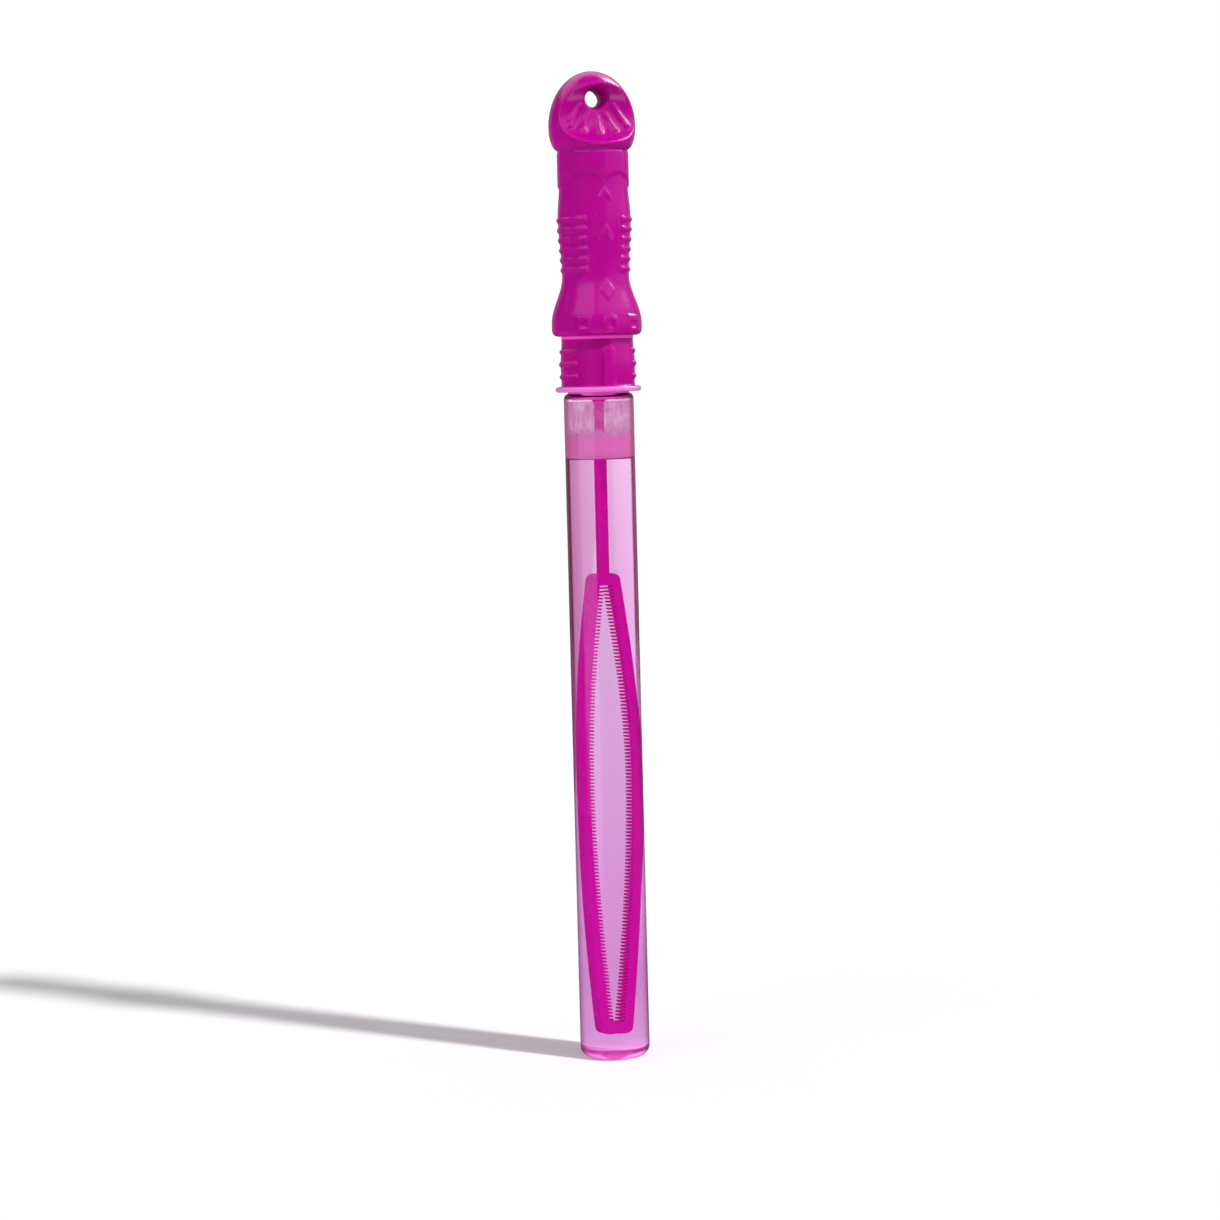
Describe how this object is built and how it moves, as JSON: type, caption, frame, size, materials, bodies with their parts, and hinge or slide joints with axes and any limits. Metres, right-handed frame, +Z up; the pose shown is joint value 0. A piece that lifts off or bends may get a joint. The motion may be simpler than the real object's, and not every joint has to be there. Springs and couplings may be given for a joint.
{
  "type": "bubble wand",
  "caption": "Clear bottle tube of bubble solution with a screw collar and a hollow ribbed handle, from which a stem with a long toothed loop hangs into the liquid.",
  "frame": {"origin": "middle of the bottle's base, on the surface that it stands on", "axes": "+Z up along the bottle's axis, -Y towards the front, with the hanging hole along Y and the loop in the plane of X and Z"},
  "size_m": [0.0335, 0.0344, 0.368],
  "materials": {
    "clear_tube": "clear, pale pink, polished",
    "solution": "clear pink liquid",
    "seal": "soft foamed sheet",
    "collar_plastic": "gloss magenta",
    "stopper_plastic": "gloss light magenta, slightly see-through",
    "handle_plastic": "gloss magenta",
    "wand_plastic": "gloss deep magenta"
  },
  "bodies": {
    "bottle": {"tube": "clear_tube", "bubble_solution": "solution"},
    "seal": {"neck_washer": "seal"},
    "collar": {"screw_collar": "collar_plastic"},
    "wand_unit": {"handle": "handle_plastic", "stopper": "stopper_plastic", "wand": "wand_plastic"}
  },
  "joints": [
    {"name": "collar_turn", "type": "hinge", "parent": "bottle", "child": "seal", "pos_m": [0, 0, 0.265], "axis": [0, 0, 1], "range_deg": [0, 540]},
    {"name": "collar_rise", "type": "slide", "parent": "seal", "child": "collar", "axis": [0, 0, 1], "range_m": [0, 0.0048]},
    {"name": "wand_lift", "type": "slide", "parent": "collar", "child": "wand_unit", "axis": [0, 0, 1], "range_m": [0, 0.264], "deforming": ["bubble_solution"]}
  ],
  "couplings": [
    {"joint": "collar_rise", "follows": "collar_turn", "m_per_rad": 0.00050929}
  ]
}
